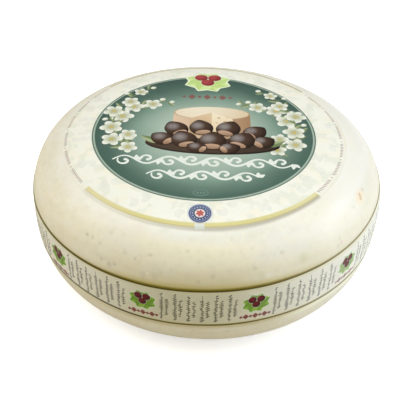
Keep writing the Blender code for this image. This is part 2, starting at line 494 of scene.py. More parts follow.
def label_material():
    """Cream paper with faint mottles, a teal field that glows in the middle, thin rims and olive borders."""
    finish = Finish("label_print")
    place = finish.place()
    from_middle, away, forward, sideways = label_axes(place)
    buff = place.noise(0.0105, 1, (0.4, 0.2, 0)).fade(0.50, 0.64, 0, 0.65)
    front = forward.fade(BORDER_SPAN - 0.002, BORDER_SPAN + 0.002)
    back = forward.fade(-BORDER_SPAN - 0.002, -BORDER_SPAN + 0.002, 1, 0)
    # the olive border pales towards both ends
    paler_to_ends = sideways.act("ABSOLUTE").fade(0.35, 0.70, 0, 0.26)
    edge = ring(away, BORDER_OUTER - 0.0005, BORDER_OUTER + 0.0001, 0.0003, 0.0003) * front
    glow = from_middle.away(GLOW_SHIFT) / GLOW_REACH + (place.noise(0.020) * 0.10 - 0.05)
    colour = finish.layers(
        LABEL_CREAM,
        (buff, LABEL_BUFF),
        (place.noise(0.0075, 1).fade(0.50, 0.62, 0, 0.75), LABEL_MOTTLE),
        (away.fade(IVORY_FROM, LABEL_RADIUS), ivory(place)),
        (border_shade(place), SHADOW_MAUVE),
        (ring(away, BORDER_INNER, BORDER_OUTER, 0.0007, 0.0003) * front,
         finish.mix(paler_to_ends, BORDER_OLIVE, LABEL_BUFF)),
        (edge * sideways.fade(-0.7, -0.2, 0.35, 0.7), BORDER_EDGE),
        (ring(away, BACK_BORDER_INNER, BACK_BORDER_OUTER, 0.0003, 0.0003) * back, BORDER_EDGE),
        (ring(away, -1, DARK_RIM), RIM_DARK),
        (ring(away, -1, PALE_RIM), RIM_PALE),
        (ring(away, -1, FIELD_RADIUS), glow.ramp(GLOW_STOPS)))
    return paper_surface(finish, colour, place, 0.25, 0.28)


# Band: pale paper with a dark line along each edge

BAND_GREY = "ded8b9"
BAND_CREAM = "e3dcbc"
EDGE_DARK = "4c3f06"
EDGE_OLIVE = "90801a"
EDGE_GLOW = "e0d59c"
UPPER_LINE = 0.0016          # width of the upper line at the front, and where it has run thin on the right
UPPER_LINE_RIGHT = 0.0007
LOWER_LINE_FOOT = 0.0404
LOWER_LINE_TOP = 0.0420
LOWER_LINE_RISE_LEFT = 0.0024


def band_material():
    """Grey-white paper, edged above and below with a dark olive line."""
    finish = Finish("band_print")
    place = finish.place()
    height = band_height(place)
    x = place.parts()[0]

    # Coating that has run thinly over the paper on the wheel's sides, made paler there by painted sheen where
    # the side lamps fall
    patch = place.noise(0.030, 2, (0.6, 0.3, 0.8)) * 0.03
    rightward = x + patch
    film_and_sheen = rightward.fade(0.018, 0.095, 0, 0.92).most((patch - x).fade(0.030, 0.110, 0, 0.95))
    near_top = height.fade(BAND_UPPER_EDGE - 0.0038, BAND_UPPER_EDGE - 0.0018, 0, 0.6)
    near_foot = height.fade(LOWER_LINE_TOP + 0.0003, LOWER_LINE_TOP + 0.0020, 0.6, 0)
    width = x.fade(0.010, 0.110, UPPER_LINE, UPPER_LINE_RIGHT)
    upper = (height + width - BAND_UPPER_EDGE).fade(-0.0002, 0.0002)
    lower = ring(height - x.fade(-0.105, -0.020, LOWER_LINE_RISE_LEFT, 0), LOWER_LINE_FOOT, LOWER_LINE_TOP)
    olive = height.fade(BAND_UPPER_EDGE - 0.0011, BAND_UPPER_EDGE + 0.0002)
    olive = olive.most(lower * x.fade(-0.050, -0.020, 0, 0.5))
    colour = finish.layers(
        BAND_GREY,
        (place.noise(0.0085, 1).fade(0.45, 0.65), BAND_CREAM),
        (film_and_sheen, FILM_PALE),
        (near_top.most(near_foot), EDGE_GLOW),
        (upper.most(lower), finish.mix(olive, EDGE_DARK, EDGE_OLIVE)))
    # on the band's right the veil is painted sheen over the thin coating
    return paper_surface(finish, colour, place, 0.04, 0.12, rightward.fade(0.030, 0.110, 0, 0.42))


# Drawing on paper: outlines are lists of complex numbers, in millimetres; an ink is a colour code,
# or gives the linear colour and cover at a place

def flat(code, cover=1):
    """Ink of one colour all over."""
    colour = (*tint(code), cover)
    return lambda place: colour


def blended(start, end, first, last):
    """Ink that changes from the first colour at one place to the last at another."""
    low, high = tint(first), tint(last)
    along = end - start

    def ink(place):
        share = ((place - start) * along.conjugate()).real / abs(along) ** 2
        share = min(max(share, 0), 1)
        return (*(a + (b - a) * share for a, b in zip(low, high)), 1)
    return ink


def rounded(centre, radius, lit, shade, sheen=0):
    """Ink of a round body lit from the upper left: a lit colour that falls to its shade at the rim."""
    bright, dark = tint(lit), tint(shade)

    def ink(place):
        share = min(abs(place - centre - complex(-0.32, 0.36) * radius) / (1.42 * radius), 1) ** 1.4
        gleam = sheen * max(1 - 3.2 * share, 0)
        return (*(a + (b - a) * share + (1 - a) * gleam for a, b in zip(bright, dark)), 1)
    return ink


def oval(centre, radius, squash=1, turn=0, steps=28):
    """Outline of a circle or, with a squash, an ellipse."""
    spin = rect(radius, turn)
    angles = [tau * step / steps for step in range(steps)]
    return [centre + spin * complex(cos(angle), squash * sin(angle)) for angle in angles]


def leaf_sides(base, tip, width, bow, steps):
    """The left edge, the midrib and the right edge of a leaf; the bow bends it to its left."""
    along = tip - base
    aside = along * 1j / abs(along)
    rib, halves = [], []
    for step in range(steps + 1):
        share = step / steps
        rib.append(base + along * share + aside * bow * sin(pi * share))
        halves.append(aside * 0.5 * width * sin(pi * share ** 0.85))
    return ([middle + half for middle, half in zip(rib, halves)], rib,
            [middle - half for middle, half in zip(rib, halves)])


class Print:
    """Inked shapes on a sheet: a later shape lies over the earlier ones."""

    def __init__(self, edge):
        self.points = []
        self.outlines = []
        self.inks = []
        self.edge = list(edge)
        self.shape(self.edge, lambda place: (0, 0, 0, 0))

    def shape(self, outline, ink):
        """Lay a filled shape over what is there; its outline is turned to run anticlockwise."""
        area = sum((here.conjugate() * after).imag for here, after in zip(outline, outline[1:] + outline[:1]))
        if abs(area) < 0.002:
            return
        first = len(self.points)
        self.points.extend(outline if area > 0 else outline[::-1])
        self.outlines.append(list(range(first, len(self.points))))
        self.inks.append(flat(ink) if isinstance(ink, str) else ink)

    def blade(self, base, tip, width, ink, bow=0, steps=8):
        """A leaf in one tone."""
        left, _, right = leaf_sides(base, tip, width, bow, steps)
        self.shape(left + right[-2:0:-1], ink)

    def leaf(self, base, tip, width, light, dark, bow=0, steps=8):
        """A leaf in two tones that meet at the midrib."""
        left, rib, right = leaf_sides(base, tip, width, bow, steps)
        self.shape(left + rib[-2:0:-1], light)
        self.shape(rib + right[-2:0:-1], dark)

    def stroke(self, path, widths, ink):
        """A line along a path whose width runs through the given widths, with round ends."""
        count = len(path) - 1
        sides = []
        for index, place in enumerate(path):
            ahead = path[min(index + 1, count)] - path[max(index - 1, 0)]
            share = index / count * (len(widths) - 1)
            low = min(int(share), len(widths) - 2)
            width = widths[low] + (widths[low + 1] - widths[low]) * (share - low)
            aside = ahead * 0.5j * width / max(abs(ahead), 1e-9)
            sides.append((place + aside, place - aside))
        for (left, right), (next_left, next_right) in zip(sides, sides[1:]):
            self.shape([left, next_left, next_right, right], ink)
        for place, width in ((path[0], widths[0]), (path[-1], widths[-1])):
            if width > 0.3:
                self.shape(oval(place, width / 2, steps=10), ink)

    def ball(self, centre, radius, lit, shade, sheen=0, squash=1, turn=0, steps=24):
        """A round body, shaded as if lit from the upper left."""
        for inner in (0.15, 0.35, 0.55, 0.72, 0.87):
            self.points.extend(oval(centre, inner * radius, squash, turn, max(8, steps // 2)))
        self.shape(oval(centre, radius, squash, turn, steps), rounded(centre, radius, lit, shade, sheen))

    def triangles(self):
        """Corner places; each triangle's corners; the ink on top of each; the corners along the edge."""
        places = [Vector((point.real, point.imag)) for point in self.points]
        places, _, faces, kept, _, owners = delaunay_2d_cdt(places, [], self.outlines, 1, 0.0005, True)
        rank = {source: index for index, sources in enumerate(kept) for source in sources}
        return ([complex(*place) for place in places], faces, [self.inks[max(owner)] for owner in owners],
                [rank[source] for source in range(len(self.edge))])


def spread_grid(inside, low, high, spacing):
    """Loose points in a triangular pattern, which let the sheet bend with the wheel."""
    rows = int((high.imag - low.imag) / (spacing * 0.866)) + 1
    columns = int((high.real - low.real) / spacing) + 1
    points = [low + complex((column + 0.5 * (row % 2)) * spacing, row * spacing * 0.866)
              for row in range(rows) for column in range(columns)]
    return [point for point in points if inside(point)]


# Generic ornament

CREAM_INK = "e9ece0"
SAGE = ("a8b184", "74845a")
STEM_GREEN = "7c8a5c"


def lozenges(page, middle, pitch, sizes, slimness, ink):
    """A row of seven lozenges, by turns of the first and the second size."""
    for number in range(-3, 4):
        place = middle + pitch * number
        wide = sizes[number % 2]
        page.shape([place - wide, place + slimness * wide, place + wide, place - slimness * wide], ink)


def scroll_row(page, middle, width, height, curls):
    """A cream vine scroll: a waving stem with a curl and two leaves in each wave."""
    pitch = width / curls
    start = middle - width / 2
    wave = [start + complex(pitch * step / 12, 0.30 * height * sin(pi * step / 12))
            for step in range(curls * 12 + 1)]
    page.stroke(wave, (1.2, 2.1, 2.1, 1.2), CREAM_INK)
    for curl in range(curls):
        up = 1 if curl % 2 else -1
        centre = start + complex((curl + 0.52) * pitch, up * 0.10 * height)
        spiral = [centre + rect((0.36 - 0.27 * step / 20) * height, up * pi * (1.15 - 1.5 * step / 20))
                  for step in range(21)]
        page.stroke(spiral, (0.9, 2, 1.5), CREAM_INK)
        page.shape(oval(spiral[-1], 1.35, steps=12), CREAM_INK)
        joint = start + (curl + 0.98) * pitch
        for lean, reach in ((0.95, 0.40), (0.35, 0.46)):
            tip = joint + rect(reach * height, -up * lean * pi / 2)
            page.blade(joint, tip, 3, CREAM_INK, up * 0.5)


def blossom(page, centre, radius, turn):
    """A cream blossom of five petals, each shaded towards its heart."""
    for petal in range(5):
        heading = rect(1, turn + tau * petal / 5)
        middle = centre + heading * 0.56 * radius
        ink = blended(centre + heading * 0.15 * radius, centre + heading * radius, "b9bd98", "f6f5ea")
        page.points.extend([middle, *oval(middle, 0.22 * radius, steps=5)])
        page.shape(oval(middle, 0.46 * radius, 0.84, phase(heading), 16), ink)
    page.shape(oval(centre, 0.20 * radius, steps=10), "c9b566")
    for stamen in range(7):
        away = rect(0.31 * radius, turn + 0.4 + tau * stamen / 7)
        page.shape(oval(centre + away, 0.045 * radius, steps=6), "8d7a3c")


def curve(*poles):
    """A smooth path from the first pole to the last, drawn towards those between; share 0 to 1."""
    def at(share):
        places = poles
        while len(places) > 1:
            places = [here + (after - here) * share for here, after in zip(places, places[1:])]
        return places[0]
    return at


def flowering_branch(page, path, leaves, blooms, buds, rng):
    """A branch along a path with leaves on both sides; blooms and buds are (share, aside, size)."""
    page.stroke([path(step / 30) for step in range(31)], (1.5, 1.1, 0.5), STEM_GREEN)

    def beside(share, aside):
        ahead = path(share + 0.01) - path(share - 0.01)
        return path(share) + 1j * ahead / abs(ahead) * aside

    for number in range(leaves):
        share = (number + 0.5) / leaves
        base = path(share)
        ahead = path(share + 0.01) - base
        lean = (0.85 if number % 2 else -0.85) + rng.uniform(-0.2, 0.2)
        heading = ahead / abs(ahead) * rect(1, lean)
        length = rng.uniform(8.5, 12) * (1.1 - 0.35 * share)
        page.leaf(base, base + heading * length, 0.36 * length, *SAGE, rng.uniform(-0.8, 0.8))
    for share, aside, size in buds:
        if aside != 0:
            page.stroke([path(share), beside(share, aside)], (0.7, 0.6), STEM_GREEN)
        page.ball(beside(share, aside), size, "f6f5ea", "b9bd98", 0, 0.85, 0.6)
    for share, aside, radius in blooms:
        blossom(page, beside(share, aside), radius, rng.uniform(0, tau))


def garland(page, side, rng):
    """The blossom of one side of the field: a branch that reaches inward, and one up along the rim."""
    def branch(poles, leaves, blooms, buds):
        path = curve(*(complex(side * pole.real, pole.imag) for pole in poles))
        flowering_branch(page, path, leaves, blooms, buds, rng)

    branch((67 - 3j, 62 + 22j, 42 + 38j, 24 + 37j), 9,
           ((0.30, 1.5 * side, 8.2), (0.52, -2 * side, 7.6), (0.74, 1.5 * side, 6.6)),
           ((0.40, -9 * side, 2.2), (0.88, -3.5 * side, 2.3), (1, 0, 2)))
    branch((44 - 23j, 68 - 20j, 73 + 34j, 39 + 57j), 14,
           ((0.08, 1, 6.4), (0.26, -3.5 * side, 7.4), (0.27, 8.5 * side, 6.2), (0.42, 1, 8),
            (0.62, -2.5 * side, 7.4), (0.77, 3 * side, 6.4), (0.91, -0.5 * side, 5.2)),
           ((0.17, 8 * side, 2.3), (0.52, -6 * side, 2.2), (0.84, -6.5 * side, 2.1), (1, 0, 2.2)))


def chestnut(page, centre, radius, turn):
    """A dark chestnut with its pointed tip and its pale foot."""
    spin = rect(radius, turn)
    outline = []
    for step in range(36):
        angle = tau * step / 36
        reach = 1 + 0.16 * max(cos(angle), 0) ** 10
        outline.append(centre + spin * complex(reach * cos(angle), 0.90 * sin(angle)))
    for inner in (0.15, 0.32, 0.48, 0.64, 0.78, 0.90):
        page.points.extend(oval(centre, inner * radius, 0.9, turn, 18))
    page.shape([place + (place - centre) / abs(place - centre) * 0.35 for place in outline], "1b1411")
    page.shape(outline, rounded(centre, radius, "5c4536", "241a16", 0.22))
    foot = centre - spin * 0.60
    page.shape(oval(foot, 0.60 * radius, 0.52, turn + pi / 2, 20),
               blended(foot + 0.5j * radius, foot - 0.5j * radius, "d0ae90", "8f6c52"))


# The heap of chestnuts, from the back: centre, radius and the way its tip points
CHESTNUTS = ((-19 + 1.5j, 8.6, 2.1), (34.5 - 0.5j, 8.2, 0.8), (-2 + 3.5j, 8.8, 1.8), (16.5 + 3j, 9, 1.2),
             (-27.5 - 11j, 7.8, 2.5), (40 - 12j, 7.4, 0.6), (-13 - 11.5j, 9.4, 1.9), (25.5 - 11j, 9.4, 1.1),
             (6 - 12.5j, 10, 1.5), (-4 - 20.5j, 6.4, 2.7), (17 - 20.5j, 6.6, 0.4))


def still_life(page):
    """A cut cheese on a dark board, with chestnuts heaped before it."""
    board = 6 - 14.5j
    page.ball(board - 1.4j, 45, "3c3028", "221b17", 0, 0.27, 0, 60)
    page.ball(board, 44.6, "574638", "3a2e26", 0, 0.26, 0, 60)
    page.leaf(-24 - 15j, -43 - 8j, 7, *SAGE, 1.5, 10)
    page.leaf(38 - 15j, 55 - 9j, 7, *SAGE, -1.5, 10)

    # The low round cheese: its side, its rind, its level top, and the wedge cut out of it
    middle, reach, tilt, drop = 5 + 23j, 27, 0.32, -24j

    def on_rim(degrees):
        angle = radians(degrees)
        return middle + complex(reach * cos(angle), tilt * reach * sin(angle))

    front = [on_rim(180 + 7.5 * step) for step in range(25)]
    page.shape(front + [place + drop for place in front[::-1]],
               blended(middle - 24, middle + 27, "dfc3a4", "a5825f"))
    page.ball(middle, reach, "cdb088", "b08f68", 0, tilt, 0, 60)
    page.ball(middle + 0.3j, reach * 0.965, "f1e5cb", "dcc5a0", 0, tilt, 0, 60)
    heart = middle + 1j
    for cut, light, dark in ((on_rim(236), "e3c8a2", "c19d75"), (on_rim(303), "f5e8ca", "e0c498")):
        page.shape([heart, heart + drop, cut + drop, cut], blended(heart, cut + drop, light, dark))
    for eye, size in ((10 + 17j, 1.2), (14 + 12.5j, 1), (8.5 + 10.5j, 0.8), (16 + 18j, 0.7)):
        page.shape(oval(eye, size, 0.8, steps=12), "c9aa7e")
    for nut in CHESTNUTS:
        chestnut(page, *nut)


def berry_spray(page, centre, size, rim, berry_size, leaf_inks, berry_inks):
    """A full rosette of pale-rimmed lime leaves with three dark berries above its middle."""
    def spot(reach, degrees):
        place = rect(reach * size, radians(degrees))
        return centre + complex(place.real, 0.86 * place.imag)

    leaves = [(spot(0.05, 45 * number - 67.5), spot(1, 45 * number - 67.5)) for number in range(8)]
    berries = [centre + place * size for place in (-0.29 + 0.36j, 0.29 + 0.36j, -0.09j)]
    for base, tip in leaves:
        outward = (tip - base) / abs(tip - base) * rim
        page.blade(base, tip + outward, 0.76 * size + 2 * rim, "eef4d6", 0, 12)
    for base, tip in leaves:
        page.leaf(base, tip, 0.76 * size, *leaf_inks, 0, 12)
    for place in berries:
        page.shape(oval(place, berry_size + 0.35 * rim, steps=24), "e4e6cc")
    for place in berries:
        page.ball(place, berry_size, *berry_inks)


def seal(page, centre, radius, foot):
    """A round slate-blue rosette with a pale heart, on a short pale tab that ends near the paper's rim."""
    def disc(share, ink, steps=40):
        page.shape(oval(centre, share * radius, steps=steps), ink)

    tab, below = 2.9, complex(centre.real, foot)
    page.points.extend(below + 1.2j * row + aside for row in (1, 2, 3) for aside in (-tab, 0, tab))
    page.shape([below - tab, below + tab, centre + tab, centre - tab],
               blended(below + 5.3j, below, "ecece6", "c6cab9"))
    disc(1.13, flat("ccd1d4", 0.55), 48)
    disc(1.00, blended(centre + 1j * radius, centre - 1j * radius, "66718f", "465179"), 72)
    disc(0.86, "8590ae")
    disc(0.80, blended(centre + 0.8j * radius, centre - 0.8j * radius, "5b6783", "3a466b"))
    for bead in range(16):
        place = centre + rect(0.66 * radius, tau * bead / 16)
        page.shape(oval(place, 0.055 * radius, steps=8), "c5cddd")
    disc(0.46, "ece0d6", 32)
    for petal in range(6):
        heading = rect(0.42 * radius, tau * petal / 6 + 0.3)
        page.blade(centre, centre + heading, 0.24 * radius, "c05f57")


def faint_leaves(page):
    """Pale leaf pairs strewn over the cream ring outside the field."""
    for radius, count, turn in ((80.6, 19, 0), (86.4, 20, 0.5)):
        for number in range(count):
            angle = tau * (number + turn) / count
            stem = rect(radius, angle)
            for lean, cover in ((0.75, 0.68), (-0.75, 0.45)):
                heading = rect(7.4, 2.3 * angle + 1.9 * number + lean)
                page.blade(stem - 0.3 * heading, stem + 0.7 * heading, 4.6, flat("e6e6d8", cover))


def rim_garland(page, start, end, rng):
    """A fine garland that runs round the rim: a row of small leaning leaves, and a berry in each gap."""
    pitch = 1.10
    for number in range(int((end - start) / pitch)):
        angle = radians(start + pitch * (number + 0.5))
        base = rect(93.9, angle)
        if number % 12 == 10:
            page.shape(oval(base, 0.6, steps=10), "c0aea2")
        if number % 12 <= 8:
            half = rect(rng.uniform(2.8, 3.1), angle + 0.6) / 2
            page.blade(base - half, base + half, 1, "c0aea2", 0.2, 5)


def label_print():
    """Everything printed on the label, about its middle; +imaginary is away from the front."""
    rim = LABEL_RADIUS / MM
    rng = random.Random(7)
    page = Print(oval(0j, rim, steps=360))
    reach = complex(rim, rim)
    page.points.extend(spread_grid(lambda point: abs(point) < rim - 1.2, -reach, reach, 2.2))
    page.points.extend(oval(0j, rim - 0.7, steps=360))
    faint_leaves(page)
    for side in (1, -1):
        garland(page, side, rng)
    still_life(page)
    scroll_row(page, -36j, 116, 13.5, 8)
    scroll_row(page, -51j, 70, 12.5, 5)
    berry_spray(page, 1.2 + 69j, 17.5, 1.2, 5, ("d6e9a0", "c4dc86"), ("b6504e", "7c2c30"))
    lozenges(page, 1.2 + 45.5j, 5.6, (3, 1.6), 1.2j, flat("8a5650", 0.9))

    # The small plain emblem at the foot of the field
    foot = -0.5 - 68.6j
    page.shape(oval(foot, 4.8, 0.64, steps=36), "7f998b")
    page.shape(oval(foot, 4.35, 0.62, steps=36), "5d766a")
    for number in (-1, 0, 1):
        page.shape(oval(foot + 1.9 * number, 0.6, steps=10), "7f998b")

    rim_garland(page, 141, 219, rng)
    rim_garland(page, -40, 40, rng)
    seal(page, -0.4 - 85.8j, 6.8, -96.8)
    return page


# Band ornament: one repeat, which runs round the belly eleven times

REPEAT_ANGLE = radians(32.27)
REPEATS = 11
FIRST_MOTIF = radians(-146.3)
SPRIG_PLACES = (12, 20.2, 28.4, -32.5, -24.3, -16.1)
BELLY_MM = BELLY_RADIUS / MM
FULL_TURN = tau * BELLY_MM
REPEAT_WIDTH = REPEAT_ANGLE * BELLY_MM
BAND_FOOT = BAND_LOWER_EDGE / MM
BAND_HEAD = BAND_UPPER_EDGE / MM
BAND_WIDTH = BAND_HEAD - BAND_FOOT
BAND_STEPS = 30              # edge points to a repeat
BAND_ROWS = 14
BAND_LEVELS = [BAND_FOOT + BAND_WIDTH * row / BAND_ROWS for row in range(BAND_ROWS + 1)]


def sprig(page, foot, height, leaves, code, rng):
    """A thin upright sprig with small uneven leaves on both sides, here and there with one missing."""
    page.stroke([foot, foot + 0.5j * height, foot + 1j * height], (0.40, 0.34, 0.26), code)
    for number in range(leaves):
        for side in (1, -1):
            base = foot + complex(0, height * (number + 0.3 + 0.25 * side) / leaves)
            tip = base + complex(side * rng.uniform(0.8, 1.7), rng.uniform(0.1, 0.7) * height / leaves)
            if rng.random() < 0.85:
                page.blade(base, tip, rng.uniform(0.65, 1), code, 0, 4)


def band_repeat():
    """One repeat of the band, centred on its motif; the imaginary part is the height on the band."""
    half = REPEAT_WIDTH / 2
    foot, head = complex(-half, BAND_FOOT), complex(half, BAND_HEAD)
    sides = ((foot, REPEAT_WIDTH, BAND_STEPS), (foot + REPEAT_WIDTH, 1j * BAND_WIDTH, BAND_ROWS),
             (head, -REPEAT_WIDTH, BAND_STEPS), (head - REPEAT_WIDTH, -1j * BAND_WIDTH, BAND_ROWS))
    page = Print([start + way * step / steps for start, way, steps in sides for step in range(steps)])
    page.points.extend(spread_grid(lambda point: abs(point.real) < half - 1, foot + 1j, head - 0.8j, 2.3))
    rng = random.Random(11)
    for place in SPRIG_PLACES:
        sprig(page, place + 44.2j, 22.4, 13, "4f4722", rng)
        sprig(page, place + 3.3 + 48.2j, 14, 8, "5a5029", rng)
    berry_spray(page, 57.3j, 9.1, 0.45, 2.6, ("98c046", "779f2c"), ("78061a", "2a0107"))
    lozenges(page, 46.6j, 2.95, (2.1, 1.2), 1.1j, "8e4c42")
    return page


# Meshes: a corner of a face is the number of its point and its place in the bake's map

MAP_MIDDLE = 0.5 + 0.5j
LABEL_MAP_REACH = 0.488
LABEL_EDGE_REACH = 0.498
BODY_MAP_REACH = 0.495
BACK_MAP_MIDDLE = 0.075 + 0.075j
BACK_MAP_REACH = 0.065
BAND_MAP_SCALE = 1 / 200
BAND_BACK_SCALE = 0.18


def link(name, data):
    """A new object in the scene."""
    piece = bpy.data.objects.new(name, data)
    bpy.context.scene.collection.objects.link(piece)
    return piece


class Sheet:
    """A closed body under construction; its printed faces have normals and inks of their own."""

    def __init__(self):
        self.points = []
        self.faces = []
        self.normals = []
        self.inks = []

    def lay(self, places, map_places):
        """New points, given as corners."""
        first = len(self.points)
        self.points.extend(places)
        return list(zip(range(first, len(self.points)), map_places))

    def face(self, corners, normals=None, inks=None):
        """A face, plain and without ink unless they are given."""
        self.faces.append(corners)
        self.normals.append(normals)
        self.inks.append(inks or [(0, 0, 0, 0)] * len(corners))

    def join(self, outer, inner):
        """Faces between two rings of corners."""
        for step in range(len(outer)):
            after = (step + 1) % len(outer)
            self.face((outer[step], inner[step], inner[after], outer[after]))

    def fan(self, ring, middle):
        """Faces that draw a ring of corners in to one."""
        for here, after in zip(ring, ring[1:] + ring[:1]):
            self.face((here, middle, after))

    def close(self, rim, ways, shares, place):
        """Draw a rim in to its middle, through rings at shares of the ways from there."""
        def on_map(share):
            return [BACK_MAP_MIDDLE + way * share * BACK_MAP_REACH for way in ways]

        outer = [(number, spot) for (number, _), spot in zip(rim, on_map(1))]
        for share in shares:
            inner = self.lay([place(way * share) for way in ways], on_map(share))
            self.join(outer, inner)
            outer = inner
        self.fan(outer, self.lay([place(0j)], [BACK_MAP_MIDDLE])[0])

    def finish(self, name, material, printed=True):
        """Make the object, with its map and, where it is printed, its ink and its own normals."""
        mesh = bpy.data.meshes.new(name)
        mesh.from_pydata(self.points, [], [[number for number, _ in face] for face in self.faces])
        layer = mesh.uv_layers.new(name="OFBake")
        layer.data.foreach_set("uv", [value for face in self.faces for _, place in face
                                      for value in (place.real, place.imag)])
        mesh.shade_smooth()
        if printed:
            ink = mesh.color_attributes.new("ink", "FLOAT_COLOR", "CORNER")
            ink.data.foreach_set("color", [part for face in self.inks for colour in face for part in colour])
            mesh.normals_split_custom_set([
                normal for polygon, given in zip(mesh.polygons, self.normals)
                for normal in given or [polygon.normal.copy()] * polygon.loop_total])
        mesh.materials.append(material)
        return link(name, mesh)


def square_off(surface, place, lift):
    """Unit normal of a laid sheet, from how the surface runs near a place on the print."""
    along = surface(place + NORMAL_STEP, lift) - surface(place - NORMAL_STEP, lift)
    across = surface(place + 1j * NORMAL_STEP, lift) - surface(place - 1j * NORMAL_STEP, lift)
    return along.cross(across).normalized()


def label_surface(place, lift):
    """A place on the label print, laid on the wheel; the paper ripples and is pressed down near its rim."""
    away = abs(place) / (LABEL_RADIUS / MM)
    ripple = noise.noise(Vector((place.real, place.imag, 0)) / 13) * 0.00005
    ripple *= (max(away - 0.80, 0) / 0.20) ** 2
    pressed = 1 - RIM_PRESS * min(max((away - 0.965) / 0.035, 0), 1) ** 2
    return on_top(LABEL_SHIFT_X + place.real * MM, LABEL_SHIFT_Y + place.imag * MM, (lift + ripple) * pressed)


def make_label(material):
    """The label: its printed face, its cut edge and its plain back, one closed sheet."""
    corners, faces, inks, edge = label_print().triangles()
    sheet = Sheet()
    rim = LABEL_RADIUS / MM
    laid = sheet.lay([label_surface(corner, FACE_LIFT) for corner in corners],
                     [MAP_MIDDLE + corner / rim * LABEL_MAP_REACH for corner in corners])
    normals = [square_off(label_surface, corner, FACE_LIFT) for corner in corners]
    for face, ink in zip(faces, inks):
        sheet.face([laid[index] for index in face], [normals[index] for index in face],
                   [ink(corners[index]) for index in face])

    def below(way):
        return label_surface(way * rim, PAPER_GAP)

    ways = [corners[index] / rim for index in edge]
    back_rim = sheet.lay([below(way) for way in ways], [MAP_MIDDLE + way * LABEL_EDGE_REACH for way in ways])
    sheet.join([laid[index] for index in edge], back_rim)
    sheet.close(back_rim, ways, (0.93, 0.80, 0.62, 0.42, 0.20), below)
    return sheet.finish("label_sheet", material)


def band_surface(place, lift):
    """A place on the band print (the way along the belly, and up the band), laid on the wheel."""
    azimuth = place.real / BELLY_MM
    level = BAND_TILT_X * sin(azimuth) - BAND_TILT_Y * cos(azimuth)
    from_middle = abs(place.imag - (BAND_FOOT + BAND_HEAD) / 2) / (BAND_WIDTH / 2)
    ripple = noise.noise(around(azimuth, BELLY_MM, place.imag) / 16) * 0.00008
    ripple *= (max(from_middle - 0.6, 0) / 0.4) ** 2
    return on_side(azimuth, place.imag * MM + BELLY_RADIUS * level, lift + ripple)


def make_band(material):
    """The band: eleven repeats of its print and a plain stretch behind, where its end laps over."""
    corners, faces, inks, edge = band_repeat().triangles()
    sheet = Sheet()
    known, normals = {}, []

    def point(place, layer):
        """Number of the sheet's point there, shared by the faces that meet in it."""
        key = (round(place.real % FULL_TURN, 3) % round(FULL_TURN, 3), round(place.imag, 3), layer)
        if key not in known:
            lift = PAPER_GAP if layer == "back" else FACE_LIFT
            known[key] = len(sheet.points)
            sheet.points.append(band_surface(place, lift))
            normals.append(square_off(band_surface, place, lift))
        return known[key]

    def cell(number):
        """Lower left corner of a repeat's place in the map."""
        return complex(0.6 + (number % 2) * (REPEAT_WIDTH + 1.2), 0.6 + (number // 2) * (BAND_WIDTH + 1))

    start = FIRST_MOTIF * BELLY_MM
    for number in range(REPEATS):
        shift = start + number * REPEAT_WIDTH
        laid = {index: point(shift + corners[index], "face") for index in edge}
        for index, corner in enumerate(corners):
            if index not in laid:
                laid[index] = point(shift + corner, (number, index))
        origin = cell(number) + complex(REPEAT_WIDTH / 2, -BAND_FOOT)
        for face, ink in zip(faces, inks):
            sheet.face([(laid[index], (origin + corners[index]) * BAND_MAP_SCALE) for index in face],
                       [normals[laid[index]] for index in face], [ink(corners[index]) for index in face])

    def grid(columns, levels, map_place, sign=1):
        """Plain faces between columns and levels, each level being a height and a layer; -1 looks inward."""
        for left, right in zip(columns, columns[1:]):
            for low, high in zip(levels, levels[1:]):
                spots = [(left, *low), (right, *low), (right, *high), (left, *high)][::sign]
                numbers = [point(complex(u, v), layer) for u, v, layer in spots]
                own = [normals[index] * sign for index in numbers] if low[1] == high[1] else None
                maps = [map_place(*spot) * BAND_MAP_SCALE for spot in spots]
                sheet.face(list(zip(numbers, maps)), own)

    # The plain stretch that closes the ring
    gap_start = start + (REPEATS - 0.5) * REPEAT_WIDTH
    gap_width = FULL_TURN - REPEATS * REPEAT_WIDTH
    gap = [gap_start + gap_width * step / 5 for step in range(6)]
    grid(gap, [(v, "face") for v in BAND_LEVELS],
         lambda u, v, layer: cell(REPEATS) + complex(u - gap_start, v - BAND_FOOT))

    # The back, and the cut edges along foot and head
    columns = [start + (step / BAND_STEPS - 0.5) * REPEAT_WIDTH for step in range(REPEATS * BAND_STEPS + 1)]
    columns += gap[1:]
    origin = complex(0.6, 6 * (BAND_WIDTH + 1) + 0.6)
    grid(columns, [(v, "back") for v in BAND_LEVELS[::2]],
         lambda u, v, layer: origin + complex(u - columns[0], v - BAND_FOOT) * BAND_BACK_SCALE, -1)
    for edge_height, row, sign in ((BAND_FOOT, 6.2, 1), (BAND_HEAD, 7.2, -1)):
        grid(columns, [(edge_height, "back"), (edge_height, "face")],
             lambda u, v, layer: origin + complex((u - columns[0]) * BAND_BACK_SCALE,
                                                  row + (0.5 if layer == "face" else 0)), sign)

    lap(sheet, gap_start + gap_width / 2)
    return sheet.finish("band_sheet", material)


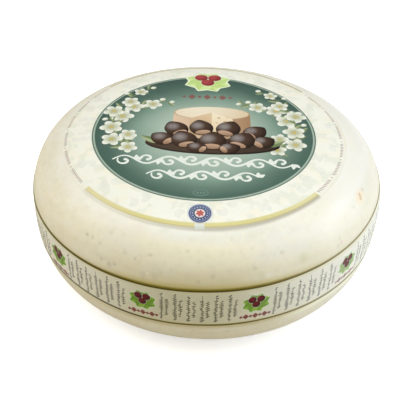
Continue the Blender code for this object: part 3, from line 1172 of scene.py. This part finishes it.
def lap(sheet, middle):
    """The band's loose end, which laps over its beginning at the back and tapers off on one side."""
    half_width = 8
    columns = [middle + half_width * (step / 4 - 1) for step in range(9)]
    last, head = len(columns) - 1, len(BAND_LEVELS) - 1

    def layer(raised, shift):
        """Corners of the lap's upper or lower face, by column and row."""
        laid = {}
        for step, u in enumerate(columns):
            lift = FACE_LIFT + (0.00002 + PAPER_THICKNESS * min(step / 2, 1) if raised else 0.00001)
            spots = [u - columns[0] + shift + complex(0, v - BAND_FOOT + 0.6) for v in BAND_LEVELS]
            column = sheet.lay([band_surface(complex(u, v), lift) for v in BAND_LEVELS],
                               [spot * BAND_MAP_SCALE for spot in spots])
            laid.update({(step, row): corner for row, corner in enumerate(column)})
        return laid

    under, over = layer(False, 165), layer(True, 145)
    for step in range(last):
        for row in range(head):
            block = ((step, row), (step + 1, row), (step + 1, row + 1), (step, row + 1))
            sheet.face([over[spot] for spot in block])
            sheet.face([under[spot] for spot in block[::-1]])
    rim = ([(step, 0) for step in range(last)] + [(last, row) for row in range(head)]
           + [(step, head) for step in range(last, 0, -1)] + [(0, row) for row in range(head, 0, -1)])
    for index, (here, after) in enumerate(zip(rim, rim[1:] + rim[:1])):
        spots = [complex(145 + index * 0.9, 40) + way for way in (0, 0.9, 0.9 + 0.5j, 0.5j)]
        corners = (under[here], under[after], over[after], over[here])
        sheet.face([(number, spot * BAND_MAP_SCALE) for (number, _), spot in zip(corners, spots)])


def profile(spacing):
    """Radius and height down the wheel, evenly spaced from the middle of its top to the rim of its base."""
    shares = [step / 2000 for step in range(2000)]
    edge = 0.92 * BELLY_RADIUS
    line = [complex(edge * share, top_height(edge * share)) for share in shares]
    # The side's height falls ever more slowly, since the profile is level again where it meets the base
    heights = [top_height(edge) * (1 - share) ** 3 for share in shares]
    line += [complex(side_radius(height), height) for height in heights] + [complex(BASE_RADIUS, 0)]
    lengths = [0, *accumulate(abs(after - here) for here, after in zip(line, line[1:]))]
    count = round(lengths[-1] / spacing)
    chosen, index = [], 0
    for step in range(count + 1):
        wanted = lengths[-1] * step / count
        while index < len(line) - 2 and lengths[index + 1] < wanted:
            index += 1
        share = (wanted - lengths[index]) / (lengths[index + 1] - lengths[index])
        chosen.append(line[index] + (line[index + 1] - line[index]) * share)
    return chosen


def make_body(material):
    """The coated cheese: its profile turned, with the low unevenness of a skin put on by hand."""
    spacing, steps = 0.0021, 400
    line = profile(spacing)
    last = len(line) - 1
    ways = [rect(1, tau * step / steps) for step in range(steps)]
    sheet = Sheet()
    top = sheet.lay([Vector((0, 0, line[0].imag + SKIN_LIFT))], [MAP_MIDDLE])[0]

    def turned(number):
        """Corners of the ring that a point of the profile turns."""
        radius, height = line[number].real, line[number].imag
        outward = 1j * (line[min(number + 1, last)] - line[number - 1])
        outward /= abs(outward)
        places = []
        for way in ways:
            azimuth = phase(way)
            place = around(azimuth, radius, height)
            skin = (SKIN_LIFT + relief(place)) * min(height / FOOT_FADE, 1)
            places.append(place + around(azimuth, outward.real, outward.imag) * skin)
        return sheet.lay(places, [MAP_MIDDLE + way * BODY_MAP_REACH * number / last for way in ways])

    rings = [turned(number) for number in range(1, last + 1)]
    sheet.fan(rings[0][::-1], top)
    for outer, inner in zip(rings, rings[1:]):
        sheet.join(outer, inner)
    sheet.close(rings[-1], ways, (0.66, 0.33), lambda way: Vector((way.imag, -way.real, 0)) * BASE_RADIUS)
    return sheet.finish("cheese_body", material, printed=False)


# Floor, light and camera

FLOOR_REACH = 4
BACKDROP_RADIUS = 3.9
BACKDROP_HEIGHT = 4
BACKDROP_SIDES = 48
TABLE_DROP = 0.0002                    # the table lies this far below the floor
FLOOR_WHITE = (0.970, 0.970, 0.965)
FLOOR_CLOUD = (0.960, 0.960, 0.955)
LIGHT_WHITE = (1, 1, 1)
BOUNCE_COLOUR = (0.78, 0.73, 0.62)
BOUNCE_BRIGHT = (0.99, 0.99, 0.97)     # on the right, where the table is as white as a card
WORLD_STRENGTH = 0.01
WHEEL_CENTRE = Vector((0, 0, WHEEL_HEIGHT / 2))


def stage_piece(name, points, faces, finish):
    """A part of the studio, which isn't part of the object."""
    mesh = bpy.data.meshes.new(name)
    mesh.from_pydata(points, [], faces)
    mesh.materials.append(finish.material)
    piece = link(name, mesh)
    return piece


def only_seen(piece):
    """Let a white surface be seen without lighting the wheel."""
    for ray in ("diffuse", "glossy", "transmission", "shadow"):
        setattr(piece, "visible_" + ray, False)


def floor_square(name, height, finish):
    """A level square of the studio under the wheel."""
    corners = [(x * FLOOR_REACH, y * FLOOR_REACH, height) for x, y in ((-1, -1), (1, -1), (1, 1), (-1, 1))]
    return stage_piece(name, corners, [(0, 1, 2, 3)], finish)


def make_studio():
    """A white floor and backdrop to be seen, and the duller table that throws light up at the wheel."""
    finish = Finish("floor_white")
    place = finish.place()
    cloud = place.noise(0.30).fade(0.3, 0.7)
    finish.set(Base_Color=finish.mix(cloud, FLOOR_WHITE, FLOOR_CLOUD), Roughness=0.9, Specular_IOR_Level=0.1,
               Emission_Color=LIGHT_WHITE, Emission_Strength=place.away().fade(0.3, 2.4, 0.60, 1))
    only_seen(floor_square("studio_floor", 0, finish))

    finish = Finish("backdrop_white")
    finish.set(Base_Color=FLOOR_WHITE, Roughness=0.9, Emission_Color=LIGHT_WHITE, Emission_Strength=1)
    count = BACKDROP_SIDES
    points = [around(tau * step / count, BACKDROP_RADIUS, height)
              for height in (0, BACKDROP_HEIGHT) for step in range(count)]
    faces = [(step, (step + 1) % count, count + (step + 1) % count, count + step) for step in range(count)]
    only_seen(stage_piece("studio_backdrop", points, faces, finish))

    finish = Finish("table_bounce")
    card = finish.place().parts()[0].fade(0.02, 0.16)
    bounce = finish.mix(card, BOUNCE_COLOUR, BOUNCE_BRIGHT)
    finish.set(Base_Color=bounce, Roughness=0.9, Specular_IOR_Level=0.1)
    floor_square("studio_table", -TABLE_DROP, finish).visible_camera = False


# Panels of the studio: name, azimuth, elevation, side, power and colour
PANEL_DISTANCE = 2.5
STUDIO_LIGHTS = (
    ("top_panel", 0, 89, 1.6, 27.8, (0.99, 1.00, 1.00)),
    ("left_panel", -90, 50, 1.5, 16.2, (1.00, 0.99, 0.97)),
    ("left_low_panel", -90, 18, 1.5, 11.6, (1.00, 0.95, 0.93)),
    ("right_panel", 90, 50, 1.5, 15.4, (0.89, 0.94, 1.00)),
    ("right_low_panel", 90, 18, 1.5, 29.5, (0.78, 0.84, 1.00)),
    ("front_panel", 5, 64, 1.5, 12, (0.97, 1.00, 0.97)),
)


def make_world():
    world = bpy.data.worlds.new("studio")
    world.use_nodes = True
    background = world.node_tree.nodes["Background"]
    background.inputs["Color"].default_value = (*LIGHT_WHITE, 1)
    background.inputs["Strength"].default_value = WORLD_STRENGTH
    bpy.context.scene.world = world


def soft_light(name, azimuth, elevation, side, power, colour):
    """A square light panel that faces the wheel."""
    light = bpy.data.lights.new(name, "AREA")
    light.shape = "SQUARE"
    light.size = side
    light.energy = power
    light.color = colour
    lamp = link(name, light)
    rise = radians(elevation)
    lamp.location = around(radians(azimuth), PANEL_DISTANCE * cos(rise), PANEL_DISTANCE * sin(rise))
    lamp.rotation_euler = (WHEEL_CENTRE - lamp.location).to_track_quat("-Z", "Y").to_euler()


def make_camera():
    camera = bpy.data.cameras.new("camera")
    camera.lens = CAMERA_LENS
    camera.sensor_width = SENSOR_WIDTH
    camera.shift_x = -WHEEL_MIDDLE_RIGHT_OF_CENTRE / IMAGE_SIDE
    camera.shift_y = -WHEEL_MIDDLE_ABOVE_CENTRE / IMAGE_SIDE
    stand = link("camera", camera)
    stand.matrix_world = (Matrix.Translation(WHEEL_CENTRE)
                          @ Matrix.Rotation(pi / 2 - CAMERA_ELEVATION, 4, "X")
                          @ Matrix.Rotation(-CAMERA_ROLL, 4, "Z")
                          @ Matrix.Translation((0, 0, CAMERA_DISTANCE)))
    bpy.context.scene.camera = stand


make_camera()
make_studio()
make_world()
for light in STUDIO_LIGHTS:
    soft_light(*light)
bpy.context.scene.view_settings.view_transform = "Standard"

for piece, node, slot in (
        (make_body(coating_material()), "cheese_wheel", "coating"),
        (make_label(label_material()), "top_label", "label_paper"),
        (make_band(band_material()), "side_band", "band_paper")):
    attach(piece, "root")
    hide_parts(node)
